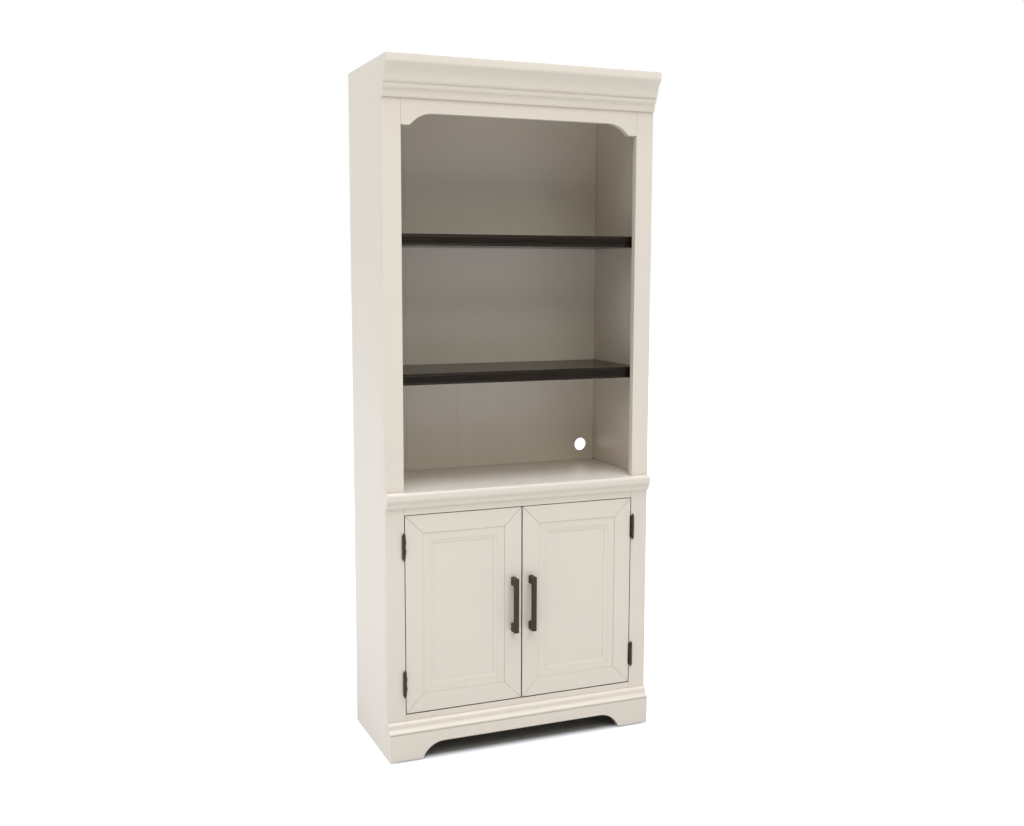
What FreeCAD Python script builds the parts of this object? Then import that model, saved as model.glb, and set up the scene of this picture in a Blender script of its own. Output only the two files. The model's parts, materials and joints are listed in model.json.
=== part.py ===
import FreeCAD, Part
import math
import os

Vector = FreeCAD.Vector

os.makedirs("parts", exist_ok=True)

# Tall bookcase with a pair of inset cabinet doors. Millimetres, +Z up, front towards -Y.
# The origin is on the floor, in the middle of the outer box. Inside this script y is
# counted from the face frame's front plane, and save() moves each piece to the origin.

# Driving dimensions
WIDTH = 812.8
HEIGHT = 1930.4
DEPTH = 376.0
CROWN_OUT = 44.2          # crown ahead of the face frame
CROWN_EASE = 0.6
BOARD = 18.0              # sides, top, deck and floor
BOARD_EASE = 0.8          # door members
BACK_T = 6.4
FRAME_T = 20.0            # posts, rails and doors
POST_W = 53.0
GLIDE_H = 3.0
DECK_TOP = 765.0
DOOR_OPENING = (128.5, 700.0)

HALF = WIDTH / 2
INNER = HALF - BOARD      # inner face of a side
BAY = HALF - POST_W       # half the clear width between the posts
REAR = DEPTH - CROWN_OUT  # back plane, from the face frame
BACK_Y = REAR - BACK_T
FACE_Y = CROWN_OUT - DEPTH / 2
FLOOR_TOP = DOOR_OPENING[0]
BACK_JOINT = DECK_TOP - BOARD / 2

# Arched top rail
ARCH_FOOT_Z = 1754.8
ARCH_RISE = 31.8
ARCH_R = 84.0
ARCH_SHOULDER = 26.4
RAIL_JOINT_EASE = 0.6
POST_CORNER_EASE = 1.2

# Mouldings across the front, from the top down
CROWN_Z = 1824.4
WAIST_Z = 719.0
BASE_CAP_Z = (80.0, 110.4)
BASE_CAP_OUT = 22.0
BASE_OUT = 21.5
BASE_EASE = 1.5           # each side of the line between cap and plinth board
BOTTOM_RAIL_Z = 60.0
TOE_Z = 46.8
TOE_R = 67.0
FOOT_W = 97.0
FOOT_EASE = 4.0

# Back panels
REBATE = 8.0
PLANK = 161.2
GROOVE_W = 3.4
GROOVE_D = 1.6
WIRE_HOLE = (341.0, 816.0)
WIRE_HOLE_R = 20.0
BACK_INSET = 3.0
LOWER_BACK_Z = 20.0

# Small round pieces and their holes are drawn with flat sides, which keeps the facets few
SMALL_SIDES = 8
TURNED_SIDES = 12

# Adjustable shelves on pins in rows of five holes
PITCH = 32.0
ROW_HOLES = 5
PIN_R = 2.5
PIN_LENGTH = 18.0
HOLE_DEPTH = 10.0
PIN_DEPTH = 9.0
PIN_Y = (60.0, 299.5)
UPPER_ROW_Z = 1395.7      # lowest hole of each row
LOWER_ROW_Z = 1045.4
CABINET_ROW_Z = 373.7
SHELF_T = 31.8
PIN_BELOW_TOP = 10.5
SHELF_GAP = 0.9
SHELF_Y = (28.0, 323.0)
SHELF_EASE = 1.5
QUIRK = 5.0               # bead line in from the shelf's upper and lower edge
QUIRK_W = 3.0
QUIRK_D = 1.5
NOTCH_W = 12.0
NOTCH_LENGTH = 14.0

# Doors: mitred frame, one routed panel
DOOR_GAP = 2.0            # at the hinges and above
DOOR_LIFT = 3.0           # gap below
MEETING_GAP = 3.2
DOOR_FRAME_W = 52.0
GROOVE_DEPTH = 8.0
PANEL_PLAY = 0.5
PANEL_Y = (2.0, 14.0)     # panel border's face and back, behind the frame's face
TONGUE_Y = (7.0, 13.0)
BORDER_W = 21.5
FIELD_D = 3.0             # sunk field below the border
OVOLO = ((0, 0.8), (5.5, 1.2), (11.0, 2.2))   # start, middle and end: across, below the border
DOOR_X = (MEETING_GAP / 2, BAY - DOOR_GAP)
DOOR_Z = (DOOR_OPENING[0] + DOOR_LIFT, DOOR_OPENING[1] - DOOR_GAP)

# Butt hinges with finials
HINGE_AXIS = (356.6, -4.8)
HINGE_Z = {"lower": 218.9, "upper": 611.6}
HINGE_H = 65.0
KNUCKLES = 5
KNUCKLE_GAP = 0.2
BARREL_R = 4.5
HINGE_PIN_R = 2.5
RUNNING_FIT = 0.05
LEAF_T = 1.5
LEAF_D = 16.0
LEAF_START = 0.4          # front of the let-in leaf, behind the face
TIP = ((0, 3.9), (0.8, 3.9), (1.5, 3.3), (4.0, 2.6), (5.8, 1.7), (6.6, 0.7))  # height, radius
SCREW_HEAD_R = 3.2
SCREW_R = 1.5
SCREW_LENGTH = 13.0
SCREW_EDGE = 9.0
SCREW_Y = 9.0

# Bar pulls
PULL_X = DOOR_X[0] + DOOR_FRAME_W / 2
PULL_Z = (334.8, 494.6)
PULL_W = 13.0
PULL_OUT = 30.8
PULL_BAR_T = 11.4
PULL_FOOT = 22.0
PULL_SCREW_Z = (350.7, 478.7)
PULL_SCREW_R = 2.0
PULL_SCREW_IN = 12.0
PAN_HEAD = (4.0, 2.4)     # radius, height
PULL_EASE = 1.2
PULL_FILLET = 3.0         # where the bar meets a foot
PULL_FLARE = 1.2          # each foot is this much deeper at the door

# Magnetic catches behind the rail above the doors
CATCH_X = (22.0, 62.0)
CATCH_Z = (682.0, 716.0)
CATCH_D = 14.0
STRIKE_T = 1.2
STRIKE_MARGIN = 4.0

GLIDE_R = 8.5
GLIDE_Y = (45.0, 306.0)


def save(node, *solids):
    """Move a sub-part from the face frame's plane to the part's frame and write its file."""
    shape = solids[0] if len(solids) == 1 else Part.makeCompound(list(solids))
    shape = shape.copy()
    shape.translate(Vector(0, FACE_Y, 0))
    shape.exportStep("parts/" + node + ".step")


def mirrored(shape):
    return shape.mirror(Vector(0, 0, 0), Vector(1, 0, 0))


def save_pair(name, shapes):
    """Write a right-hand sub-part and its mirror image."""
    save(name.format("right"), *shapes)
    save(name.format("left"), *[mirrored(shape) for shape in shapes])


def block(x, y, z):
    """Box from three (low, high) spans."""
    size = [high - low for low, high in (x, y, z)]
    return Part.makeBox(*size, Vector(x[0], y[0], z[0]))


def rod(radius, start, direction):
    """Cylinder from start along a vector that gives its length."""
    return Part.makeCylinder(radius, direction.Length, start, direction)


def turned(stations, start, axis, sides=SMALL_SIDES):
    """Flat-sided turning. Stations are (distance along the axis, radius over the flats)."""
    across = Vector(0, 1, 0) if axis.x else Vector(1, 0, 0)
    up = axis.cross(across)
    turns = [(i + 0.5) * 2 * math.pi / sides for i in range(sides)]
    spokes = [(across * math.cos(turn) + up * math.sin(turn)) / math.cos(math.pi / sides)
              for turn in turns]
    rings = [[start + axis * distance + spoke * radius for spoke in spokes]
             for distance, radius in stations]
    outlines = [rings[0], rings[-1]]
    for low, high in zip(rings, rings[1:]):
        outlines += [[low[i - 1], low[i], high[i], high[i - 1]] for i in range(sides)]
    faces = [Part.Face(Part.makePolygon(corners + corners[:1])) for corners in outlines]
    return Part.makeSolid(Part.makeShell(faces))


def peg(radius, length, start, axis, sides=SMALL_SIDES):
    return turned([(0, radius), (length, radius)], start, axis, sides)


def outline(start, steps, plane):
    """Closed face. A step is an end point, or a (middle, end) pair for an arc."""
    edges = []
    here = plane(*start)
    for step in steps + [start]:
        if isinstance(step[0], tuple):
            middle, end = (plane(*point) for point in step)
            edges.append(Part.Arc(here, middle, end).toShape())
        else:
            end = plane(*step)
            edges.append(Part.LineSegment(here, end).toShape())
        here = end
    return Part.Face(Part.Wire(edges))


def on_yz(y, z):
    return Vector(-HALF, y, z)


def on_xz(x, z):
    return Vector(x, 0, z)


def on_xy(x, y):
    return Vector(x, y, 0)


def moulding(start, steps):
    """Section in y and z, run across the full width."""
    return outline(start, steps, on_yz).extrude(Vector(WIDTH, 0, 0))


def eased(shape, size, wanted):
    """Chamfer the straight edges whose middle passes the test."""
    edges = [edge for edge in shape.Edges if wanted(edge.CenterOfMass)]
    return shape.makeChamfer(size, edges)


def near(value, target):
    return abs(value - target) < 0.01


def inset(span, amount):
    return (span[0] + amount, span[1] - amount)


def arch_run(radius, rise):
    """Level reach of an arc that ends level after climbing the rise."""
    return math.sqrt(radius ** 2 - (radius - rise) ** 2)


def arch_middle(radius, rise, foot_x, foot_z, side):
    """Point halfway round such an arc, whose foot is at side * foot_x."""
    centre_x = foot_x - arch_run(radius, rise)
    centre_z = foot_z + rise - radius
    foot_angle = math.acos((radius - rise) / radius)
    x = centre_x + radius * math.sin(foot_angle / 2)
    z = centre_z + radius * math.cos(foot_angle / 2)
    return (side * x, z)


# Carcase

def pin_holes(face_x, row_z):
    """Drills for one side's front and back row of shelf pins, entering at face_x."""
    for y in PIN_Y:
        for i in range(ROW_HOLES):
            start = Vector(face_x, y, row_z + i * PITCH)
            yield peg(PIN_R, HOLE_DEPTH, start, Vector(1, 0, 0))


def side_panel():
    panel = block((INNER, HALF), (FRAME_T, REAR), (GLIDE_H, HEIGHT))
    panel = panel.cut(block((INNER, INNER + REBATE), (BACK_Y, REAR), (GLIDE_H, HEIGHT)))
    rows = (UPPER_ROW_Z, LOWER_ROW_Z, CABINET_ROW_Z)
    return panel.cut([hole for row in rows for hole in pin_holes(INNER, row)])


def post(hinge_cuts):
    stick = block((BAY, HALF), (0, FRAME_T), (GLIDE_H, HEIGHT))
    stick = eased(stick, POST_CORNER_EASE, lambda p: near(p.x, HALF) and near(p.y, 0))
    stick = eased(stick, RAIL_JOINT_EASE, lambda p: near(p.x, BAY) and near(p.y, 0))
    return stick.cut(hinge_cuts)


def rail(z):
    stick = block((-BAY, BAY), (0, FRAME_T), z)
    return eased(stick, RAIL_JOINT_EASE, lambda p: near(abs(p.x), BAY) and near(p.y, 0))


def arched_rail():
    foot_x = BAY - ARCH_SHOULDER
    top_x = foot_x - arch_run(ARCH_R, ARCH_RISE)
    soffit = ARCH_FOOT_Z + ARCH_RISE
    right_middle = arch_middle(ARCH_R, ARCH_RISE, foot_x, ARCH_FOOT_Z, 1)
    left_middle = arch_middle(ARCH_R, ARCH_RISE, foot_x, ARCH_FOOT_Z, -1)
    face = outline((-BAY, HEIGHT), [
        (BAY, HEIGHT),
        (BAY, ARCH_FOOT_Z),
        (foot_x, ARCH_FOOT_Z),
        (right_middle, (top_x, soffit)),
        (-top_x, soffit),
        (left_middle, (-foot_x, ARCH_FOOT_Z)),
        (-BAY, ARCH_FOOT_Z),
    ], on_xz)
    stick = face.extrude(Vector(0, FRAME_T, 0))
    return eased(stick, RAIL_JOINT_EASE, lambda p: near(abs(p.x), BAY) and near(p.y, 0))


def level_panel(top, tongue=False):
    """Board between the sides. The deck also runs forward between the posts."""
    z = (top - BOARD, top)
    panel = block((-INNER, INNER), (FRAME_T, BACK_Y), z)
    if tongue:
        panel = panel.fuse(block((-BAY, BAY), (0, FRAME_T), z)).removeSplitter()
    return panel


def upper_back():
    half = INNER + REBATE
    z = (BACK_JOINT, HEIGHT - BACK_INSET)
    sheet = block((-half, half), (BACK_Y, REAR), z)
    for joint in (-1.5, -0.5, 0.5, 1.5):
        x = joint * PLANK
        groove = outline((x - GROOVE_W / 2, BACK_Y), [
            (x, BACK_Y + GROOVE_D),
            (x + GROOVE_W / 2, BACK_Y),
        ], on_xy).extrude(Vector(0, 0, z[1] - z[0]))
        groove.translate(Vector(0, 0, z[0]))
        sheet = sheet.cut(groove)
    x, hole_z = WIRE_HOLE
    return sheet.cut(rod(WIRE_HOLE_R, Vector(x, BACK_Y, hole_z), Vector(0, BACK_T, 0)))


def lower_back():
    half = INNER + REBATE
    return block((-half, half), (BACK_Y, REAR), (LOWER_BACK_Z, BACK_JOINT))


# Mouldings on the front

def crown():
    return moulding((0, CROWN_Z), [
        (-5.0, CROWN_Z),
        ((-6.8, 1827.4), (-7.8, 1832.0)),
        (-8.6, 1840.4),
        ((-9.5, 1844.4), (-12.6, 1846.8)),
        (-14.0, 1847.2),
        ((-17.2, 1854.2), (-15.8, 1860.2)),
        (-18.6, 1861.4),
        ((-22.6, 1865.0), (-24.0, 1870.4)),
        (-24.3, 1875.8),
        ((-30.0, 1891.0), (-38.8, 1903.6)),
        (-40.6, 1905.4),
        ((-43.1, 1909.0), (-44.0, 1914.2)),
        (-CROWN_OUT, HEIGHT - CROWN_EASE),
        (-CROWN_OUT + CROWN_EASE, HEIGHT),
        (0, HEIGHT),
    ])


def waist():
    return moulding((0, WAIST_Z), [
        (-3.2, WAIST_Z),
        ((-7.9, 723.0), (-10.8, 728.4)),
        (-11.3, 737.8),
        (-15.0, 738.6),
        ((-17.9, 743.6), (-19.0, 750.2)),
        (-19.0, 755.4),
        ((-16.3, 762.4), (-9.0, DECK_TOP)),
        (0, DECK_TOP),
    ])


def base_cap():
    low, high = BASE_CAP_Z
    nose = -BASE_CAP_OUT
    return moulding((0, low), [
        (nose + BASE_EASE, low),
        (nose, low + BASE_EASE),
        (nose, 85.8),
        ((-14.0, 88.8), (-10.3, 95.4)),
        (-10.3, 102.2),
        ((-7.7, 107.4), (-2.8, high)),
        (0, high),
    ])


def base_board():
    """Plinth board cut up in a flat arch, which leaves a foot at each end."""
    top = BASE_CAP_Z[0]
    rise = TOE_Z - GLIDE_H
    foot_x = HALF - FOOT_W
    top_x = foot_x - arch_run(TOE_R, rise)
    right_middle = arch_middle(TOE_R, rise, foot_x, GLIDE_H, 1)
    left_middle = arch_middle(TOE_R, rise, foot_x, GLIDE_H, -1)
    face = outline((-HALF, top), [
        (HALF, top),
        (HALF, GLIDE_H),
        (foot_x, GLIDE_H),
        (right_middle, (top_x, TOE_Z)),
        (-top_x, TOE_Z),
        (left_middle, (-foot_x, GLIDE_H)),
        (-HALF, GLIDE_H),
    ], on_xz)
    board = face.extrude(Vector(0, BASE_OUT, 0))
    board.translate(Vector(0, -BASE_OUT, 0))
    toes = [edge for edge in board.Edges
            if near(abs(edge.CenterOfMass.x), foot_x) and near(edge.CenterOfMass.z, GLIDE_H)]
    board = board.makeFillet(FOOT_EASE, toes)
    return eased(board, BASE_EASE, lambda p: near(p.y, -BASE_OUT) and near(p.z, top))


# Shelves

def shelf(pin_z):
    """Shelf whose blind end notches drop over its pins, with a beaded front edge."""
    top = pin_z + PIN_BELOW_TOP
    bottom = top - SHELF_T
    half = INNER - SHELF_GAP
    board = block((-half, half), SHELF_Y, (bottom, top))
    board = eased(board, SHELF_EASE, lambda p: near(p.y, SHELF_Y[0]) and near(p.x, 0))
    front = SHELF_Y[0]
    for z in (bottom + QUIRK, top - QUIRK):
        board = board.cut(moulding((front, z - QUIRK_W / 2), [
            (front + QUIRK_D, z),
            (front, z + QUIRK_W / 2),
        ]))
    for y in PIN_Y:
        notch = block((half - NOTCH_LENGTH, half), (y - NOTCH_W / 2, y + NOTCH_W / 2),
                      (bottom, pin_z + PIN_R))
        board = board.cut([notch, mirrored(notch)])
    return board


def pins(pin_z):
    """The four pins under one shelf."""
    right = [peg(PIN_R, PIN_LENGTH, Vector(INNER + PIN_DEPTH, y, pin_z), Vector(-1, 0, 0))
             for y in PIN_Y]
    return right + [mirrored(pin) for pin in right]


# Hinges, built for the right-hand door

def knuckle_spans(base, first):
    """Spans in z of every other knuckle from the first one, counted from the bottom."""
    step = HINGE_H / KNUCKLES
    return [inset((base + number * step, base + (number + 1) * step), KNUCKLE_GAP / 2)
            for number in range(first, KNUCKLES, 2)]


def knuckle(span):
    start = Vector(*HINGE_AXIS, span[0])
    return peg(BARREL_R, span[1] - span[0], start, Vector(0, 0, 1), TURNED_SIDES)


def hinge_bore(base):
    x, y = HINGE_AXIS
    return rod(HINGE_PIN_R + RUNNING_FIT, Vector(x, y, base), Vector(0, 0, HINGE_H))


def leaf_screws(face_x, inward, base):
    """Countersunk screws through a leaf. inward is +1 or -1 along x."""
    stations = [(0, SCREW_HEAD_R), (SCREW_HEAD_R - SCREW_R, SCREW_R), (SCREW_LENGTH, SCREW_R)]
    heights = (base + SCREW_EDGE, base + HINGE_H / 2, base + HINGE_H - SCREW_EDGE)
    return [turned(stations, Vector(face_x, SCREW_Y, z), Vector(inward, 0, 0)) for z in heights]


def frame_leaf(base, screws):
    """Leaf let into the post. It carries every other knuckle, from the bottom one."""
    x = (BAY, BAY + LEAF_T)
    leaf = block(x, (LEAF_START, LEAF_D), (base, base + HINGE_H))
    for span in knuckle_spans(base, 0):
        leaf = leaf.fuse([block(x, (HINGE_AXIS[1], LEAF_START), span), knuckle(span)])
    return leaf.removeSplitter().cut([hinge_bore(base)] + screws)


def door_leaf(base, screws):
    """Leaf let into the door's edge. It wraps forward to the knuckles between."""
    axis_x, axis_y = HINGE_AXIS
    wrap = (axis_y - LEAF_T / 2, axis_y + LEAF_T / 2)
    x = (DOOR_X[1] - LEAF_T, DOOR_X[1])
    leaf = block(x, (0, LEAF_D), (base, base + HINGE_H))
    for span in knuckle_spans(base, 1):
        leaf = leaf.fuse([block(x, (wrap[0], 0), span),
                          block((x[0], axis_x - HINGE_PIN_R), wrap, span),
                          knuckle(span)])
    return leaf.removeSplitter().cut([hinge_bore(base)] + screws)


def hinge_pin(base):
    """Pin with a tapered tip at each end, seated on the outer knuckles."""
    foot = Vector(*HINGE_AXIS, base)
    head = foot + Vector(0, 0, HINGE_H)
    shaft = rod(HINGE_PIN_R, foot, head - foot)
    return shaft.fuse([turned(TIP, head, Vector(0, 0, 1), TURNED_SIDES),
                       turned(TIP, foot, Vector(0, 0, -1), TURNED_SIDES)]).removeSplitter()


# Doors, built for the right-hand one

def member(points):
    """One mitred frame member from its outline, eased round its face and grooved for the panel."""
    stick = outline(points[0], points[1:], on_xz).extrude(Vector(0, FRAME_T, 0))
    ring = DOOR_FRAME_W - GROOVE_DEPTH
    groove = block(inset(DOOR_X, ring), TONGUE_Y, inset(DOOR_Z, ring))
    return eased(stick, BOARD_EASE, lambda p: near(p.y, 0)).cut(groove)


def door_frame():
    """The four members: hinge stile, meeting stile, top rail, bottom rail."""
    (x0, x1), (z0, z1) = DOOR_X, DOOR_Z
    (u0, u1), (w0, w1) = inset(DOOR_X, DOOR_FRAME_W), inset(DOOR_Z, DOOR_FRAME_W)
    return {
        "hinge_stile": member([(x1, z0), (x1, z1), (u1, w1), (u1, w0)]),
        "meeting_stile": member([(x0, z0), (x0, z1), (u0, w1), (u0, w0)]),
        "top_rail": member([(x0, z1), (x1, z1), (u1, w1), (u0, w1)]),
        "bottom_rail": member([(x0, z0), (x1, z0), (u1, w0), (u0, w0)]),
    }


def pocket_profile(span, plane):
    """Section of the panel's sunk field, with a stepped ovolo down each side."""
    low, high = span
    face = PANEL_Y[0]
    floor = face + FIELD_D
    left = [(low + across, face + depth) for across, depth in OVOLO]
    right = [(high - across, face + depth) for across, depth in OVOLO]
    return outline((low, face), [
        left[0],
        (left[1], left[2]),
        (left[2][0], floor),
        (right[2][0], floor),
        right[2],
        (right[1], right[0]),
        (high, face),
    ], plane)


def door_panel():
    """Flat border, then an ovolo mitred round a flat sunk field. Its tongue sits in the groove."""
    x, z = inset(DOOR_X, DOOR_FRAME_W), inset(DOOR_Z, DOOR_FRAME_W)
    reach = GROOVE_DEPTH - PANEL_PLAY
    body = block(x, PANEL_Y, z)
    tongue = block(inset(x, -reach), TONGUE_Y, inset(z, -reach))
    pocket_x, pocket_z = inset(x, BORDER_W), inset(z, BORDER_W)
    across = pocket_profile(pocket_x, on_xy).extrude(Vector(0, 0, pocket_z[1] - pocket_z[0]))
    across.translate(Vector(0, 0, pocket_z[0]))
    up = pocket_profile(pocket_z, lambda along, y: Vector(pocket_x[0], y, along))
    up = up.extrude(Vector(pocket_x[1] - pocket_x[0], 0, 0))
    return body.fuse(tongue).removeSplitter().cut(across.common(up))


def pull():
    """Square bar carried on two deeper feet, all one casting."""
    low, high = PULL_Z
    bar_back = -PULL_OUT + PULL_BAR_T
    side = PULL_X - PULL_W / 2
    corner = PULL_FILLET * (1 - math.sqrt(0.5))
    under, over = inset(PULL_Z, PULL_FOOT)
    section = outline((0, low), [
        (-PULL_OUT + PULL_EASE, low),
        (-PULL_OUT, low + PULL_EASE),
        (-PULL_OUT, high - PULL_EASE),
        (-PULL_OUT + PULL_EASE, high),
        (0, high),
        (0, over - PULL_FLARE),
        (bar_back + PULL_FILLET, over),
        ((bar_back + corner, over - corner), (bar_back, over - PULL_FILLET)),
        (bar_back, under + PULL_FILLET),
        ((bar_back + corner, under + corner), (bar_back + PULL_FILLET, under)),
        (0, under + PULL_FLARE),
    ], lambda y, z: Vector(side, y, z))
    bar = section.extrude(Vector(PULL_W, 0, 0))
    return eased(bar, PULL_EASE / 2,
                 lambda p: near(p.y, -PULL_OUT) and near(abs(p.x - PULL_X), PULL_W / 2))


def pull_screws():
    radius, height = PAN_HEAD
    screws = []
    for z in PULL_SCREW_Z:
        head = peg(radius, height, Vector(PULL_X, FRAME_T, z), Vector(0, 1, 0))
        shank = peg(PULL_SCREW_R, PULL_SCREW_IN + FRAME_T, Vector(PULL_X, -PULL_SCREW_IN, z),
                    Vector(0, 1, 0))
        screws.append(head.fuse(shank).removeSplitter())
    return screws


# Catches

def catch():
    """Magnet housing on the back of the rail. It reaches down to the door's strike plate."""
    rear = FRAME_T + CATCH_D
    flange = block(CATCH_X, (FRAME_T, rear), (DOOR_OPENING[1], CATCH_Z[1]))
    magnet = block(CATCH_X, (FRAME_T + STRIKE_T, rear), (CATCH_Z[0], DOOR_OPENING[1]))
    return flange.fuse(magnet).removeSplitter()


def strike():
    z = (CATCH_Z[0] + STRIKE_T, DOOR_Z[1] - STRIKE_T)
    return block(inset(CATCH_X, STRIKE_MARGIN), (FRAME_T, FRAME_T + STRIKE_T), z)


def glides():
    x = (INNER + HALF) / 2
    right = [peg(GLIDE_R, GLIDE_H, Vector(x, y, 0), Vector(0, 0, 1), TURNED_SIDES)
             for y in GLIDE_Y]
    return right + [mirrored(glide) for glide in right]


# Every sub-part, in the order in which the bookcase goes together

save_pair("side_{}", [side_panel()])
save("top_panel", level_panel(HEIGHT))
save("deck_panel", level_panel(DECK_TOP, tongue=True))
save("floor_panel", level_panel(FLOOR_TOP))
save("upper_back", upper_back())
save("lower_back", lower_back())
save("arched_rail", arched_rail())
save("waist_rail", rail((DOOR_OPENING[1], DECK_TOP - BOARD)))
save("bottom_rail", rail((BOTTOM_RAIL_Z, DOOR_OPENING[0])))
save("crown_moulding", crown())
save("waist_moulding", waist())
save("base_cap", base_cap())
save("base_board", base_board())
save("glides", *glides())

shelf_pins = []
for shelf_name, shelf_pin_z in (
        ("shelf_upper", UPPER_ROW_Z + 2 * PITCH),
        ("shelf_lower", LOWER_ROW_Z + PITCH),
        ("cabinet_shelf", CABINET_ROW_Z + 2 * PITCH)):
    save(shelf_name, shelf(shelf_pin_z))
    shelf_pins += pins(shelf_pin_z)
save("shelf_pins", *shelf_pins)

post_cuts, stile_cuts = [], []
post_screws, door_screws = [], []
for hinge, middle_z in HINGE_Z.items():
    foot = middle_z - HINGE_H / 2
    in_post = leaf_screws(BAY, 1, foot)
    in_door = leaf_screws(DOOR_X[1], -1, foot)
    hinge_span = (foot, foot + HINGE_H)
    post_cuts += [block((BAY, BAY + LEAF_T), (0, LEAF_D), hinge_span)] + in_post
    stile_cuts += [block((DOOR_X[1] - LEAF_T, DOOR_X[1]), (0, LEAF_D), hinge_span)] + in_door
    post_screws += in_post
    door_screws += in_door
    save_pair("{}_" + hinge + "_hinge_frame_leaf", [frame_leaf(foot, in_post)])
    save_pair("{}_" + hinge + "_hinge_door_leaf", [door_leaf(foot, in_door)])
    save_pair("{}_" + hinge + "_hinge_pin", [hinge_pin(foot)])
save_pair("post_{}", [post(post_cuts)])
save_pair("{}_post_hinge_screws", post_screws)
save_pair("{}_door_hinge_screws", door_screws)

handle_screws = pull_screws()
members = door_frame()
members["hinge_stile"] = members["hinge_stile"].cut(stile_cuts)
members["meeting_stile"] = members["meeting_stile"].cut(handle_screws)
for member_name, solid in members.items():
    save_pair("{}_door_" + member_name, [solid])
save_pair("{}_door_panel", [door_panel()])
save_pair("{}_pull", [pull().cut(handle_screws)])
save_pair("{}_pull_screws", handle_screws)
save_pair("{}_catch", [catch()])
save_pair("{}_strike", [strike()])
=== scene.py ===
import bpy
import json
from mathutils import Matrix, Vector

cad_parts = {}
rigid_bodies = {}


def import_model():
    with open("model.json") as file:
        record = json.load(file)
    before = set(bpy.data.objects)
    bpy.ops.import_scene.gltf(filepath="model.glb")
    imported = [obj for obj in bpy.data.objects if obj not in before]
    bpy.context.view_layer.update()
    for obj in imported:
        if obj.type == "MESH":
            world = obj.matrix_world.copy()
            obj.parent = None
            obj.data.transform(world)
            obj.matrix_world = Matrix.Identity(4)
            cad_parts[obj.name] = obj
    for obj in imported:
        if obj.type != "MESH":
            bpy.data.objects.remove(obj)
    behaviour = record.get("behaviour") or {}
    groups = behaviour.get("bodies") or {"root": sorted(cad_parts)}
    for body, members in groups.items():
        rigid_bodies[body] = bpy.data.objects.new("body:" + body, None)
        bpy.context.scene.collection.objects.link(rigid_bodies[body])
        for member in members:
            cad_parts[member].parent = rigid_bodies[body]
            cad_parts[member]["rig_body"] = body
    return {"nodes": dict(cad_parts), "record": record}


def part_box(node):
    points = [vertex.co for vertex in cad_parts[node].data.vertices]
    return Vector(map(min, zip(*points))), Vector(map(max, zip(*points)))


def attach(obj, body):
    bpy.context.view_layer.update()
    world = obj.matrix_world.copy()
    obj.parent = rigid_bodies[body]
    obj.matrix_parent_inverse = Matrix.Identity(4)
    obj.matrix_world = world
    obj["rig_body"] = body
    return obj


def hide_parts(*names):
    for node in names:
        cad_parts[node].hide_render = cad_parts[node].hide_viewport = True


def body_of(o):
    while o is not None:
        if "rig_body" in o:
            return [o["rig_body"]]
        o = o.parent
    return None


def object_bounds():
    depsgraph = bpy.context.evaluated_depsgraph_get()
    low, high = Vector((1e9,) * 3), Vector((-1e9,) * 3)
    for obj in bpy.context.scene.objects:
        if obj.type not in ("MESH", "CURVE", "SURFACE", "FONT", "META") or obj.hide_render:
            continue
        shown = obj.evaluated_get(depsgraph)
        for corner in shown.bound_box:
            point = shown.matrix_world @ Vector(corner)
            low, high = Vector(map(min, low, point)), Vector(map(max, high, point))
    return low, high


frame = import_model()
cad_box = [list(corner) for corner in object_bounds()]

import json
import math

import bmesh
import bpy
from mathutils import Matrix, Vector

SCENE = bpy.context.scene
MM = 0.001
WELD = 0.01 * MM    # points nearer than this are one point


# Camera

CAMERA_AT = (-1.296258, -3.189593, 1.376431)
CAMERA_YAW, CAMERA_PITCH, CAMERA_ROLL = (math.radians(a) for a in (22.5346, 7.0165, 0.1443))
CAMERA_LENS, CAMERA_SENSOR = 41.263, 36.0
CAMERA_CLIP = (0.05, 200)


def make_camera():
    data = bpy.data.cameras.new("camera")
    data.lens, data.sensor_width = CAMERA_LENS, CAMERA_SENSOR
    data.clip_start, data.clip_end = CAMERA_CLIP
    camera = bpy.data.objects.new("camera", data)
    SCENE.collection.objects.link(camera)
    sin, cos = math.sin, math.cos
    forward = Vector((sin(CAMERA_YAW) * cos(CAMERA_PITCH), cos(CAMERA_YAW) * cos(CAMERA_PITCH),
                      -sin(CAMERA_PITCH)))
    right = Vector((cos(CAMERA_YAW), -sin(CAMERA_YAW), 0))
    up = right.cross(forward)
    right, up = (right * cos(CAMERA_ROLL) + up * sin(CAMERA_ROLL),
                 up * cos(CAMERA_ROLL) - right * sin(CAMERA_ROLL))
    turn = Matrix((right, up, -forward)).transposed().to_4x4()
    camera.matrix_world = Matrix.Translation(CAMERA_AT) @ turn
    SCENE.camera = camera


# Node building

def add_node(tree, kind, inputs=(), **settings):
    """New node with its settings made and its inputs linked or set."""
    node = tree.nodes.new(kind)
    for name, value in settings.items():
        setattr(node, name, value)
    for socket, value in dict(inputs).items():
        if isinstance(value, bpy.types.NodeSocket):
            tree.links.new(value, node.inputs[socket])
        else:
            node.inputs[socket].default_value = value
    return node


AO_RAYS = 6
NOISE_MOST, NOISE_CORE = (0.3, 0.7), (0.35, 0.65)    # the values that most of a noise takes


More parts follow.
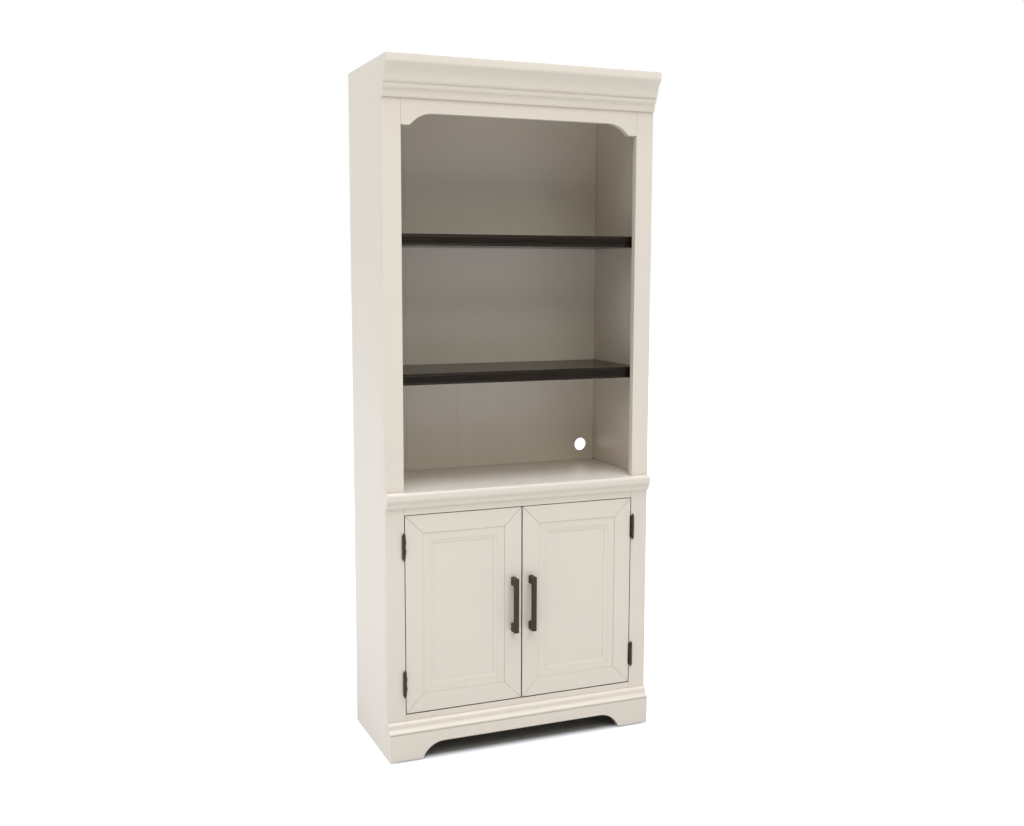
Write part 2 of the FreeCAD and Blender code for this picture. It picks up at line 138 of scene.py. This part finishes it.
class Nodes:
    """Short way to build the nodes of a material or a world."""

    def __init__(self, owner):
        self.owner = owner
        owner.use_nodes = True
        self.tree = owner.node_tree
        self.tree.nodes.clear()

    def add(self, kind, inputs=(), **settings):
        return add_node(self.tree, "ShaderNode" + kind, inputs, **settings)

    def place(self):
        return self.add("TexCoord").outputs["Object"]

    def math(self, operation, a, b=0.0):
        return self.add("Math", {0: a, 1: b}, operation=operation).outputs[0]

    def ramp(self, value, given, wanted=(0.0, 1.0)):
        """The value carried from the given range to the wanted one, and held at its ends."""
        return self.add("MapRange", {"Value": value, "From Min": given[0], "From Max": given[1],
                                     "To Min": wanted[0], "To Max": wanted[1]}).outputs[0]

    def blend(self, a, b, share):
        """a and b added, with b's share between 0 and 1."""
        rest = self.math("MULTIPLY", a, 1 - share)
        return self.math("ADD", rest, self.math("MULTIPLY", b, share))

    def mix(self, factor, a, b):
        """The colour a, or b where the factor is 1."""
        return self.add("Mix", {0: factor, 6: a, 7: b}, data_type="RGBA").outputs[2]

    def noise(self, vector, scale=1.0, detail=2.0, roughness=0.5):
        inputs = {"Vector": vector, "Scale": scale, "Detail": detail, "Roughness": roughness}
        return self.add("TexNoise", inputs).outputs[0]

    def stretched(self, vector, axis, along, across):
        """Coordinates scaled by along in the axis' direction and by across in the others."""
        scale = [along if letter == axis else across for letter in "XYZ"]
        return self.add("Mapping", {"Vector": vector, "Scale": scale}).outputs[0]

    def bump(self, height, distance):
        return self.add("Bump", {"Height": height, "Distance": distance}).outputs[0]

    def crevice(self, reach):
        """1 in the open, towards 0 in corners and joints nearer than reach."""
        return self.add("AmbientOcclusion", {"Distance": reach}, samples=AO_RAYS).outputs["AO"]

    def arris(self, reach):
        """0 on flat ground, towards 1 on the piece's own outer edges."""
        inside = self.add("AmbientOcclusion", {"Distance": reach}, samples=AO_RAYS, inside=True,
                          only_local=True)
        return self.math("SUBTRACT", 1.0, inside.outputs["AO"])

    def background_seen(self):
        """1 on rays that show the background: from the camera, mirrored or passed on."""
        rays = self.add("LightPath").outputs
        onward = self.math("MAXIMUM", rays["Is Glossy Ray"], rays["Is Transmission Ray"])
        return self.math("MAXIMUM", rays["Is Camera Ray"], onward)

    def finish(self, shader, output="OutputMaterial"):
        self.add(output, {0: shader.outputs[0]})
        return self.owner


def material_nodes(name):
    return Nodes(bpy.data.materials.new(name))


def shade(colour, factor):
    return tuple(part * factor for part in colour[:3]) + (1,)


# Materials. Noise is scaled per metre; reach and relief are in metres

PAINT = (0.800, 0.722, 0.632, 1)
PAINT_DEEP = (0.650, 0.558, 0.455, 1)
# painted shade, laid into corners and joints
PAINTED_CORNER_SHADE = (0.430, 0.360, 0.285, 1)
# painted shade inside holes and narrow gaps, near black
PAINTED_HOLE_SHADE = (0.035, 0.026, 0.019, 1)
ESPRESSO = ((0.0048, 0.0026, 0.0010, 1), (0.0215, 0.0125, 0.0055, 1))
# painted highlight on the lacquered edges and bead lines
ESPRESSO_EDGE_HIGHLIGHT = (0.170, 0.130, 0.100, 1)
BRONZE = (0.042, 0.031, 0.018, 1)
BRONZE_WORN = (0.110, 0.079, 0.046, 1)
STEEL = (0.56, 0.55, 0.53, 1)
PLASTIC = (0.60, 0.57, 0.52, 1)

# Height of the bumps, and reach of the lighter edges: a painted highlight on the paint and the
# lacquer, wear on the bronze
PAINT_RELIEF, WOOD_RELIEF, BRONZE_RELIEF = 0.00010, 0.00012, 0.00005
STEEL_RELIEF, PLASTIC_RELIEF = 0.00003, 0.00004
PAINT_EDGE, WOOD_EDGE, BRONZE_EDGE = 0.0012, 0.0016, 0.0009

# Painted shade in corners and joints: how far it reaches, and how open a spot is where the shade
# starts and ends
BOARD_CORNER_SHADE = {"reach": 0.009, "openness": (0.72, 0.25)}
SECTION_CORNER_SHADE = {"reach": 0.009, "openness": (0.45, 0.08)}
PANEL_CORNER_SHADE = {"reach": 0.003, "openness": (0.90, 0.50)}
# how open a spot is where the painted shade in holes starts and ends
HOLE_SHADE_OPENNESS = (0.38, 0.16)
CORNER_SHADE_STRENGTH = (0.0, 0.80)


def paint(name, axis, reach, openness):
    """Satin paint over wood whose boards, and so the brush, run along the axis.

    It carries painted shade in corners, joints and holes, and a painted highlight, with a little
    wear, along its edges."""
    n = material_nodes(name)
    place = n.place()
    brush = n.noise(n.stretched(place, axis, 9, 520), detail=3.0, roughness=0.6)
    grain = n.noise(n.stretched(place, axis, 3, 95), detail=4.0, roughness=0.55)
    peel = n.noise(place, 330, 1.0)
    cloud = n.noise(place, 2.6, 3.0)
    colour = n.mix(n.ramp(cloud, NOISE_MOST), shade(PAINT, 0.985), shade(PAINT, 1.01))
    colour = n.mix(n.ramp(grain, (0.42, 0.25), (0.0, 0.10)), colour, PAINT_DEEP)
    crevice = n.crevice(reach)
    # painted shade: darker where corners and joints hide the surface from the light
    colour = n.mix(n.ramp(crevice, openness, CORNER_SHADE_STRENGTH), colour, PAINTED_CORNER_SHADE)
    # painted shade: near black deep in holes and narrow gaps
    colour = n.mix(n.ramp(crevice, HOLE_SHADE_OPENNESS), colour, PAINTED_HOLE_SHADE)
    # painted highlight, with a little wear: the paint is lighter along the outer edges
    edge_highlight = n.ramp(n.arris(PAINT_EDGE), (0.25, 0.70), (0.0, 0.35))
    height = n.blend(n.blend(brush, peel, 0.35), grain, 0.4)
    return n.finish(n.add("BsdfPrincipled", {
        "Base Color": n.mix(edge_highlight, colour, shade(PAINT, 1.05)),
        "Roughness": n.ramp(n.blend(brush, cloud, 0.4), NOISE_CORE, (0.30, 0.40)),
        "Specular IOR Level": 0.45,
        "Normal": n.bump(height, PAINT_RELIEF)}))


def dark_wood(name):
    """Espresso stain, the long grain along X, under a satin lacquer with a painted highlight on its
    edges and bead lines.
    """
    n = material_nodes(name)
    place = n.place()
    pores = n.noise(n.stretched(place, "X", 14, 620), detail=3.0, roughness=0.6)
    grain = n.noise(n.stretched(place, "X", 6.5, 230), detail=4.0, roughness=0.6)
    figure = n.noise(n.stretched(place, "X", 1.6, 40), detail=2.0)
    tone = n.blend(n.blend(grain, figure, 0.45), pores, 0.2)
    colour = n.mix(n.ramp(tone, (0.41, 0.60)), *ESPRESSO)
    # painted highlight: the lacquer is lighter along edges and bead lips
    edge_highlight = n.ramp(n.arris(WOOD_EDGE), (0.10, 0.50), (0.0, 0.70))
    return n.finish(n.add("BsdfPrincipled", {
        "Base Color": n.mix(edge_highlight, colour, ESPRESSO_EDGE_HIGHLIGHT),
        "Roughness": n.ramp(grain, NOISE_MOST, (0.17, 0.25)),
        "Specular IOR Level": 0.12,
        "Normal": n.bump(n.blend(grain, pores, 0.5), WOOD_RELIEF)}))


def bronze(name):
    """Oil-rubbed bronze, rubbed a little brighter along its edges."""
    n = material_nodes(name)
    place = n.place()
    mottle = n.noise(place, 140, 4.0, 0.6)
    cast = n.noise(place, 900, 2.0)
    colour = n.mix(n.ramp(mottle, NOISE_CORE), shade(BRONZE, 0.8), shade(BRONZE, 1.15))
    rubbed = n.math("MULTIPLY", n.arris(BRONZE_EDGE), n.ramp(mottle, NOISE_MOST, (0.6, 1.2)))
    return n.finish(n.add("BsdfPrincipled", {
        "Base Color": n.mix(n.ramp(rubbed, (0.2, 0.7), (0.0, 0.6)), colour, BRONZE_WORN),
        "Roughness": n.ramp(mottle, NOISE_MOST, (0.36, 0.48)),
        "Metallic": 0.35,
        "Specular IOR Level": 0.3,
        "Normal": n.bump(n.blend(cast, mottle, 0.3), BRONZE_RELIEF)}))


def steel(name):
    """Zinc-plated steel with a faint turned grain."""
    n = material_nodes(name)
    place = n.place()
    cloud = n.noise(place, 120, 3.0)
    scratch = n.noise(n.stretched(place, "X", 60, 1400), detail=2.0)
    return n.finish(n.add("BsdfPrincipled", {
        "Base Color": n.mix(n.ramp(cloud, NOISE_MOST), shade(STEEL, 0.88), STEEL),
        "Roughness": n.ramp(scratch, NOISE_MOST, (0.26, 0.40)),
        "Metallic": 1.0,
        "Normal": n.bump(scratch, STEEL_RELIEF)}))


def plastic(name):
    """Moulded plastic with a fine spark-eroded texture."""
    n = material_nodes(name)
    place = n.place()
    spark = n.noise(place, 1500, 2.0)
    cloud = n.noise(place, 60, 2.0)
    return n.finish(n.add("BsdfPrincipled", {
        "Base Color": n.mix(n.ramp(cloud, NOISE_MOST), shade(PLASTIC, 0.94), PLASTIC),
        "Roughness": n.ramp(spark, NOISE_MOST, (0.42, 0.55)),
        "Normal": n.bump(spark, PLASTIC_RELIEF)}))


PAINTED = {axis: paint("paint_along_" + axis.lower(), axis, **BOARD_CORNER_SHADE) for axis in "XZ"}
PAINTED_SECTIONS = paint("paint_on_mouldings", "X", **SECTION_CORNER_SHADE)
PAINTED_PANELS = paint("paint_on_panels", "Z", **PANEL_CORNER_SHADE)
FINISHES = {"dark_wood": dark_wood("espresso"), "dark_metal": bronze("bronze"),
            "steel": steel("steel"), "plastic": plastic("plastic")}

MOULDED = ("moulding", "base_cap")
PANEL = "door_panel"
LEVEL_BOARDS = ("top_panel", "deck_panel", "floor_panel", "rail", "base_board")


def named(node, words):
    """Whether the node's name holds one of the words."""
    return any(word in node for word in words)


def finish_for(node, slot):
    if slot != "painted_wood":
        return FINISHES[slot]
    if named(node, MOULDED):
        return PAINTED_SECTIONS
    if PANEL in node:
        return PAINTED_PANELS
    return PAINTED["X" if named(node, LEVEL_BOARDS) else "Z"]


# Pieces that stay as they were built, with eased edges

SQUARE = math.radians(50)     # edges blunter than this are eased in the solids themselves
BEADED = math.radians(40)     # on the shelves this takes in the lips of the bead lines
MITRE_TURN = math.radians(1)  # flatter slanting edges only split a flat face
EASED_WOOD, EASED_SECTION, EASED_SHELF, EASED_METAL = 0.6 * MM, 0.25 * MM, 0.9 * MM, 0.8 * MM
EASE_STEPS = 3


def smooth_group(name, crisp_mitres):
    """Geometry nodes that shade every face smooth, if asked up to the slanting mitre edges."""
    tree = bpy.data.node_groups.new(name, "GeometryNodeTree")
    tree.interface.new_socket("Geometry", in_out="INPUT", socket_type="NodeSocketGeometry")
    tree.interface.new_socket("Geometry", in_out="OUTPUT", socket_type="NodeSocketGeometry")

    def add(kind, inputs=(), **settings):
        return add_node(tree, kind, inputs, **settings).outputs

    def maths(operation, a, b=0.0):
        return add("ShaderNodeMath", {0: a, 1: b}, operation=operation)[0]

    def shaded(domain, inputs):
        return add("GeometryNodeSetShadeSmooth", inputs, domain=domain)[0]

    shape = shaded("FACE", {"Geometry": add("NodeGroupInput")[0], "Shade Smooth": True})
    if crisp_mitres:
        ends = add("GeometryNodeInputMeshEdgeVertices")
        run = add("ShaderNodeVectorMath", {0: ends["Position 1"], 1: ends["Position 2"]},
                  operation="SUBTRACT")[0]
        x, y, z = (maths("ABSOLUTE", part) for part in add("ShaderNodeSeparateXYZ", {0: run}))
        across = maths("MAXIMUM", maths("MINIMUM", x, y), maths("MINIMUM", x, z))
        turn = add("GeometryNodeInputMeshEdgeAngle")["Unsigned Angle"]
        mitre = maths("MULTIPLY", maths("GREATER_THAN", across, WELD),
                      maths("GREATER_THAN", turn, MITRE_TURN))
        shape = shaded("EDGE", {"Geometry": shape, "Selection": mitre, "Shade Smooth": False})
    add("NodeGroupOutput", {0: shape})
    return tree


SMOOTH = smooth_group("smooth", False)
SMOOTH_MITRED = smooth_group("smooth_mitred", True)


def ease(piece, width, sharper_than, smoothing):
    """Rounds the outer edges and evens the shading of flats and curves."""
    piece.modifiers.new("weld", "WELD").merge_threshold = WELD
    bevel = piece.modifiers.new("ease", "BEVEL")
    bevel.width, bevel.segments = width, EASE_STEPS
    bevel.limit_method, bevel.angle_limit = "ANGLE", sharper_than
    bevel.use_clamp_overlap = False
    piece.modifiers.new("smooth", "NODES").node_group = smoothing
    piece.modifiers.new("normals", "WEIGHTED_NORMAL").keep_sharp = True


def easing_for(node, slot):
    """Width, angle and smoothing of a node's eased edges."""
    if named(node, MOULDED) or PANEL in node:
        return EASED_SECTION, SQUARE, SMOOTH_MITRED
    if slot == "dark_wood":
        return EASED_SHELF, BEADED, SMOOTH
    return EASED_WOOD if slot == "painted_wood" else EASED_METAL, SQUARE, SMOOTH


def dress_node(node, slot):
    piece = frame["nodes"][node]
    piece.data.materials.clear()
    piece.data.materials.append(finish_for(node, slot))
    ease(piece, *easing_for(node, slot))


# Small round hardware, built in millimetres and put where the CAD has it

FINE, MEDIUM, COARSE = 48, 40, 32    # sides of a round body
SHARP = math.radians(30)             # edges that stay crisp in its shading
CAP_R = 0.2                          # the flat cap that closes a domed or pointed end


class Shape:
    """Closed bodies in one mesh, in millimetres in the part's frame."""

    def __init__(self):
        self.points, self.faces = [], []

    def add(self, points, faces):
        first = len(self.points)
        self.points += points
        self.faces += [tuple(first + corner for corner in face) for face in faces]

    def join(self, other):
        self.add(other.points, other.faces)
        return self

    def turning(self, stations, start, axis, sides=FINE):
        """Body of revolution from (distance along the axis, radius) stations."""
        axis = Vector(axis).normalized()
        side = axis.orthogonal().normalized()
        other = axis.cross(side)
        turns = [2 * math.pi * step / sides for step in range(sides)]
        points = [Vector(start) + axis * along + (side * math.cos(a) + other * math.sin(a)) * radius
                  for along, radius in stations for a in turns]
        faces = [tuple(reversed(range(sides)))]
        for row in range(len(stations) - 1):
            for k in range(sides):
                a, b = row * sides + k, row * sides + (k + 1) % sides
                faces.append((a, b, b + sides, a + sides))
        last = (len(stations) - 1) * sides
        faces.append(tuple(range(last, last + sides)))
        self.add(points, faces)
        return self

    def slab(self, low, high, rounding):
        """Box with rounded edges."""
        low, high = Vector(low), Vector(high)
        box = Matrix.Translation((high + low) / 2) @ Matrix.Diagonal((high - low).to_4d())
        mesh = bmesh.new()
        bmesh.ops.create_cube(mesh, size=1, matrix=box)
        bmesh.ops.bevel(mesh, geom=mesh.edges[:], offset=rounding, segments=2, profile=0.5,
                        affect="EDGES")
        mesh.verts.index_update()
        self.add([vertex.co.copy() for vertex in mesh.verts],
                 [tuple(vertex.index for vertex in face.verts) for face in mesh.faces])
        mesh.free()
        return self

    def mirrored(self):
        other = Shape()
        other.add([Vector((-p.x, p.y, p.z)) for p in self.points],
                  [tuple(reversed(face)) for face in self.faces])
        return other

    def mesh(self, name):
        mesh = bpy.data.meshes.new(name)
        mesh.from_pydata([point * MM for point in self.points], [], self.faces)
        return mesh

    def carved(self, cutter):
        """The shape with the cutter's bodies taken out."""
        pair = [bpy.data.objects.new("carving", shape.mesh("carving")) for shape in (self, cutter)]
        for piece in pair:
            SCENE.collection.objects.link(piece)
        cut = pair[0].modifiers.new("cut", "BOOLEAN")
        cut.operation, cut.solver, cut.use_self = "DIFFERENCE", "EXACT", True
        cut.object = pair[1]
        seen = pair[0].evaluated_get(bpy.context.evaluated_depsgraph_get())
        mesh = seen.to_mesh()
        result = Shape()
        result.add([vertex.co / MM for vertex in mesh.vertices],
                   [tuple(face.vertices) for face in mesh.polygons])
        seen.to_mesh_clear()
        for piece in pair:
            bpy.data.meshes.remove(piece.data)
        return result


def join_all(shapes):
    whole = Shape()
    for shape in shapes:
        whole.join(shape)
    return whole


def put(node, shape, slot):
    """Shows the shape in the node's place, on the node's body."""
    mesh = shape.mesh(node + "_shape")
    mesh.materials.append(finish_for(node, slot))
    mesh.shade_smooth()
    mesh.set_sharp_from_angle(angle=SHARP)
    piece = bpy.data.objects.new(node + "_shape", mesh)
    SCENE.collection.objects.link(piece)
    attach(piece, body_of(frame["nodes"][node])[0])
    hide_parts(node)


def put_pair(name, shape, slot):
    """Shows the right-hand shape and its mirror image."""
    put("right_" + name, shape, slot)
    put("left_" + name, shape.mirrored(), slot)


def solids_of(node):
    """Lowest and highest corner of each separate solid in a node, in millimetres and in order."""
    mesh = bmesh.new()
    mesh.from_mesh(frame["nodes"][node].data)
    bmesh.ops.remove_doubles(mesh, verts=mesh.verts[:], dist=WELD)
    left, boxes = set(mesh.verts), []
    while left:
        grown, queue = set(), [left.pop()]
        while queue:
            vertex = queue.pop()
            grown.add(vertex)
            near = {edge.other_vert(vertex) for edge in vertex.link_edges} & left
            left -= near
            queue += near
        corners = [[vertex.co[axis] / MM for vertex in grown] for axis in range(3)]
        boxes.append((Vector(map(min, corners)), Vector(map(max, corners))))
    mesh.free()
    return sorted(boxes, key=lambda box: tuple(box[0]))


def middle(box):
    return (box[0] + box[1]) / 2


# Screws, pins and glides

CROSS_REACH, CROSS_WIDTH, CROSS_DEPTH, CROSS_ROUNDING = 3.6, 0.7, 1.3, 0.05
# Wood screw: the countersunk head, the shank and the thread, whose crest is a share of the pitch
HEAD_R, HEAD_EDGE, HEAD_RIM, HEAD_SUNK = 3.2, 0.25, 0.2, 0.02
SHANK_R, THREAD_R, POINT_R = 1.35, 1.5, 0.1
CORE_R = SHANK_R * 0.8
THREAD_START, THREAD_PITCH, THREAD_CREST, TAPERED_TURNS = 3.0, 1.1, 0.45, 3
# Machine screw: the pan head, whose dome is a share of its height, and the bolt
PAN_R, PAN_HEIGHT, PAN_DOME, PAN_EDGE = 4.0, 2.4, 0.45, 0.2
DOME_ANGLES = [math.radians(angle) for angle in range(10, 91, 16)]
BOLT_R, BOLT_END_R, BOLT_TAPER = 1.9, 1.5, 0.4
# Distance from the end and share of the radius; height and distance inside the radius
PIN_END = ((0, 0.35), (0.15, 0.7), (0.5, 0.93), (1.0, 1.0))
GLIDE_RIM = ((0, 1.2), (0.25, 0.4), (0.8, 0.0))


def cross_recess(at, axis):
    """Two crossed slots that start above the head, for carving."""
    slots = Shape()
    a = Vector(axis)
    ends = [Vector(at) - a * CROSS_DEPTH, Vector(at) + a * CROSS_DEPTH]
    for way in (a.orthogonal().normalized(), a.cross(a.orthogonal()).normalized()):
        half = way * CROSS_REACH / 2 + a.cross(way) * CROSS_WIDTH / 2
        corners = [end + half * side for end in ends for side in (1, -1)]
        slots.slab(Vector(map(min, *corners)), Vector(map(max, *corners)), CROSS_ROUNDING)
    return slots


def thread(end):
    """Stations of a wood screw's ridged shank, which tapers to a point."""
    stations = []
    turns = int((end - THREAD_START) / THREAD_PITCH)
    for turn in range(turns):
        taper = min(1, (turns - turn) / TAPERED_TURNS)
        along = THREAD_START + turn * THREAD_PITCH
        crest = along + THREAD_PITCH * THREAD_CREST
        stations += [(along, CORE_R * taper), (crest, THREAD_R * taper)]
    return stations + [(end, POINT_R)]


def wood_screw(box, inward):
    """Countersunk screw whose head faces against inward, along x."""
    low, high = box
    at = Vector((low.x if inward > 0 else high.x, middle(box).y, middle(box).z))
    head = [(HEAD_SUNK, CAP_R), (HEAD_SUNK, HEAD_R - HEAD_EDGE), (HEAD_RIM, HEAD_R),
            (HEAD_R - SHANK_R, SHANK_R)]
    body = Shape().turning(head + thread(high.x - low.x), at, (inward, 0, 0), COARSE)
    return body.carved(cross_recess(at, (inward, 0, 0)))


def machine_screw(box):
    """Pan-head screw through a door, its head at the back."""
    low, high = box
    at = Vector((middle(box).x, high.y, middle(box).z))
    length = high.y - low.y
    dome = [(PAN_HEIGHT * (1 - math.cos(a)) * PAN_DOME, PAN_R * math.sin(a)) for a in DOME_ANGLES]
    head = [(0, CAP_R)] + dome + [(PAN_HEIGHT - PAN_EDGE, PAN_R), (PAN_HEIGHT, PAN_R - PAN_EDGE)]
    shank = [(PAN_HEIGHT, BOLT_R), (length - BOLT_TAPER, BOLT_R), (length, BOLT_END_R)]
    body = Shape().turning(head + shank, at, (0, -1, 0), MEDIUM)
    return body.carved(cross_recess(at, (0, -1, 0)))


def shelf_pin(box):
    """Plain steel pin, its ends rounded off."""
    low, high = box
    length, radius = high.x - low.x, (high.z - low.z) / 2
    near = [(along, radius * share) for along, share in PIN_END]
    far = [(length - along, r) for along, r in reversed(near)]
    return Shape().turning(near + far, (low.x, middle(box).y, middle(box).z), (1, 0, 0), COARSE)


def glide(box):
    """Nylon disc with a rounded rim, on the floor."""
    low, high = box
    height, radius = high.z - low.z, (high.x - low.x) / 2
    stations = [(up, radius - inside) for up, inside in GLIDE_RIM] + [(height, radius)]
    return Shape().turning(stations, (middle(box).x, middle(box).y, low.z), (0, 0, 1))


def make_small_parts():
    screws = join_all(machine_screw(box) for box in solids_of("right_pull_screws"))
    put_pair("pull_screws", screws, "steel")
    put("shelf_pins", join_all(shelf_pin(box) for box in solids_of("shelf_pins")), "steel")
    put("glides", join_all(glide(box) for box in solids_of("glides")), "plastic")


# Hinges

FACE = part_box("post_right")[0].y / MM    # the front of the face frame
KNUCKLES, KNUCKLE_GAP, KNUCKLE_EDGE = 5, 0.2, 0.3
BARREL_R, PIN_R = 4.5, 2.5
BORE_R = PIN_R + 0.3
LEAF_T, LEAF_ROUNDING = 1.5, 0.25
PLATE_START, STRAP_END = 0.4, 1.5        # behind the face
COUNTERSINK_RISE = 0.5                   # the cutter starts this far above the plate
COUNTERSINK = ((0, HEAD_R + 0.65), (HEAD_R + COUNTERSINK_RISE, 0.15))
TIP = ((0, 2.6), (0.0, 3.9), (0.3, 4.1), (0.9, 4.1), (1.2, 3.9), (1.35, 3.2), (1.8, 3.0),
       (2.6, 3.1), (3.6, 2.95), (4.6, 2.5), (5.5, 1.85), (6.2, 1.1), (6.5, 0.6), (6.6, CAP_R))


def barrel_axis(pin_node):
    """Middle of the pin in x and y, and the span of the knuckles in z."""
    low, high = (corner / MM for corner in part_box(pin_node))
    centre, tip = middle((low, high)), TIP[-1][0]
    return Vector((centre.x, centre.y, 0)), (low.z + tip, high.z - tip)


def knuckles(axis, span, first):
    """Every other knuckle from the first one, and its span in z."""
    step = (span[1] - span[0]) / KNUCKLES
    length = step - KNUCKLE_GAP
    rim = BARREL_R - KNUCKLE_EDGE
    section = [(0, BORE_R), (0, rim), (KNUCKLE_EDGE, BARREL_R),
               (length - KNUCKLE_EDGE, BARREL_R), (length, rim), (length, BORE_R)]
    rolls, spans = Shape(), []
    for number in range(first, KNUCKLES, 2):
        low = span[0] + number * step + KNUCKLE_GAP / 2
        rolls.turning(section, axis + Vector((0, 0, low)), (0, 0, 1))
        spans.append((low, low + length))
    return rolls, spans


def leaf(node, pin_node, screws_node, first, outward):
    """Hinge leaf of the right-hand door: a holed plate that wraps forward into its knuckles."""
    axis, span = barrel_axis(pin_node)
    boxes = [box for box in solids_of(screws_node) if span[0] < middle(box).z < span[1]]
    face = boxes[0][0].x if outward > 0 else boxes[0][1].x
    near, far = sorted((face, face + outward * LEAF_T))
    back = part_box(node)[1].y / MM
    plate = Shape().slab((near, FACE + PLATE_START, span[0]), (far, back, span[1]), LEAF_ROUNDING)
    holes = Shape()
    for box in boxes:
        at = (face - outward * COUNTERSINK_RISE, middle(box).y, middle(box).z)
        holes.turning(COUNTERSINK, at, (outward, 0, 0), MEDIUM)
    plate = plate.carved(holes)
    rolls, spans = knuckles(axis, span, first)
    front = axis.y if outward > 0 else axis.y - LEAF_T / 2
    for bottom, top in spans:
        plate.slab((near, front, bottom), (far, FACE + STRAP_END, top), LEAF_ROUNDING)
        if outward < 0:
            plate.slab((near, front, bottom), (axis.x - PIN_R, axis.y + LEAF_T / 2, top),
                       LEAF_ROUNDING)
    return plate.join(rolls)


def hinge_pin(pin_node):
    """Pin through the knuckles, with a tapered tip at either end."""
    axis, (bottom, top) = barrel_axis(pin_node)
    low, high = axis + Vector((0, 0, bottom)), axis + Vector((0, 0, top))
    pin = Shape().turning([(0, PIN_R), (top - bottom, PIN_R)], low, (0, 0, 1))
    return pin.turning(TIP, high, (0, 0, 1)).turning(TIP, low, (0, 0, -1))


# Leaf, the screws through it, its first knuckle from below, the way it faces in x
LEAVES = (("frame_leaf", "right_post_hinge_screws", 0, 1),
          ("door_leaf", "right_door_hinge_screws", 1, -1))


def make_hinges():
    for level in ("lower", "upper"):
        pin = "right_" + level + "_hinge_pin"
        put_pair(level + "_hinge_pin", hinge_pin(pin), "dark_metal")
        for leaf_name, screws, first, outward in LEAVES:
            name = level + "_hinge_" + leaf_name
            put_pair(name, leaf("right_" + name, pin, screws, first, outward), "dark_metal")
    for name, inward in (("post_hinge_screws", 1), ("door_hinge_screws", -1)):
        screws = join_all(wood_screw(box, inward) for box in solids_of("right_" + name))
        put_pair(name, screws, "dark_metal")


# Floor, light and background

WHITE = (1, 1, 1, 1)
FLOOR_REACH = 60.0
FLOOR_TINT = (0.90, 0.92, 1.0, 1)
# the grey under the object is a painted shadow
FLOOR_UNDER_SHADOW, FLOOR_NEAR, FLOOR_OPEN = 0.36, 0.76, 0.95    # grey under, beside and off the object
FLOOR_GLOW, FLOOR_GLOW_FAR = 0.68, 1.0                    # what background rays see besides
FLOOR_RISE = (-0.05, 0.0)     # from inside the object's edge to the edge
FLOOR_SPREAD = (0.1, 1.2)     # from beside the object to the open floor
FLOOR_FADE = (1.5, 6.0)       # where the lamps' light falls off

# Name, place, target, size, watts and colour
LAMPS = (
    ("top", (0.0, -1.6, 7.5), (0, 0, 0.5), (5.0, 5.0), 452, (0.835, 0.883, 1.0)),
    ("front", (0.0, -5.6, 6.2), (0, 0, 0.8), (5.0, 3.0), 140, (0.970, 1.0, 0.920)),
    ("left", (-4.2, 0.4, 2.0), (0, 0, 1.0), (2.4, 3.0), 42, (0.930, 1.0, 1.0)),
    ("left_front", (-4.0, -4.4, 5.6), (0, 0, 0.9), (3.0, 3.0), 34, (1.0, 0.930, 0.875)),
)
WORLD_STRENGTH, WORLD_COLOUR = 0.255, (1, 0.970, 0.855, 1)


def make_floor():
    """Floor, shown white around the object. It keeps the object's shadow, and its grey is darker
    under the object: a painted shadow.
    """
    mesh = bpy.data.meshes.new("floor")
    signs = ((-1, -1), (1, -1), (1, 1), (-1, 1))
    mesh.from_pydata([(x * FLOOR_REACH, y * FLOOR_REACH, 0) for x, y in signs], [], [(0, 1, 2, 3)])
    floor = bpy.data.objects.new("floor", mesh)
    SCENE.collection.objects.link(floor)
    n = material_nodes("floor")
    axes = n.add("SeparateXYZ", {0: n.place()}).outputs
    clear = n.math("MAXIMUM", *(n.math("SUBTRACT", n.math("ABSOLUTE", axes[axis]), cad_box[1][axis])
                                for axis in (0, 1)))
    # painted shadow: the floor's grey darkens under the object
    grey = n.math("ADD", n.ramp(clear, FLOOR_RISE, (FLOOR_UNDER_SHADOW, FLOOR_NEAR)),
                  n.ramp(clear, FLOOR_SPREAD, (0.0, FLOOR_OPEN - FLOOR_NEAR)))
    glow = n.math("ADD", n.ramp(clear, FLOOR_RISE, (0.0, FLOOR_GLOW)),
                  n.ramp(clear, FLOOR_FADE, (0.0, FLOOR_GLOW_FAR - FLOOR_GLOW)))
    colour = n.add("CombineXYZ", {0: grey, 1: grey, 2: grey}).outputs[0]
    shown = n.math("MULTIPLY", n.background_seen(), glow)
    diffuse = n.add("BsdfDiffuse", {"Color": colour}).outputs[0]
    emission = n.add("Emission", {"Color": FLOOR_TINT, "Strength": shown}).outputs[0]
    mesh.materials.append(n.finish(n.add("AddShader", {0: diffuse, 1: emission})))


def make_world():
    """Soft light from all sides, in front of a white background."""
    n = Nodes(bpy.data.worlds.new("world"))
    light = n.add("Background", {"Color": WORLD_COLOUR, "Strength": WORLD_STRENGTH}).outputs[0]
    white = n.add("Background", {"Color": WHITE, "Strength": 1.0}).outputs[0]
    shown = n.add("MixShader", {0: n.background_seen(), 1: light, 2: white})
    SCENE.world = n.finish(shown, "OutputWorld")


def make_lamp(name, at, target, size, watts, colour):
    data = bpy.data.lights.new(name, "AREA")
    data.shape, data.size, data.size_y = "RECTANGLE", size[0], size[1]
    data.energy, data.color = watts, colour
    lamp = bpy.data.objects.new(name, data)
    lamp.location = at
    lamp.rotation_mode = "QUATERNION"
    lamp.rotation_quaternion = (Vector(target) - Vector(at)).to_track_quat("-Z", "Y")
    SCENE.collection.objects.link(lamp)


for row in frame["record"]["subparts"]:
    dress_node(row["node"], row["material_slot"])
make_hinges()
make_small_parts()
make_camera()
make_floor()
make_world()
for lamp in LAMPS:
    make_lamp(*lamp)
SCENE.view_settings.view_transform = "Standard"
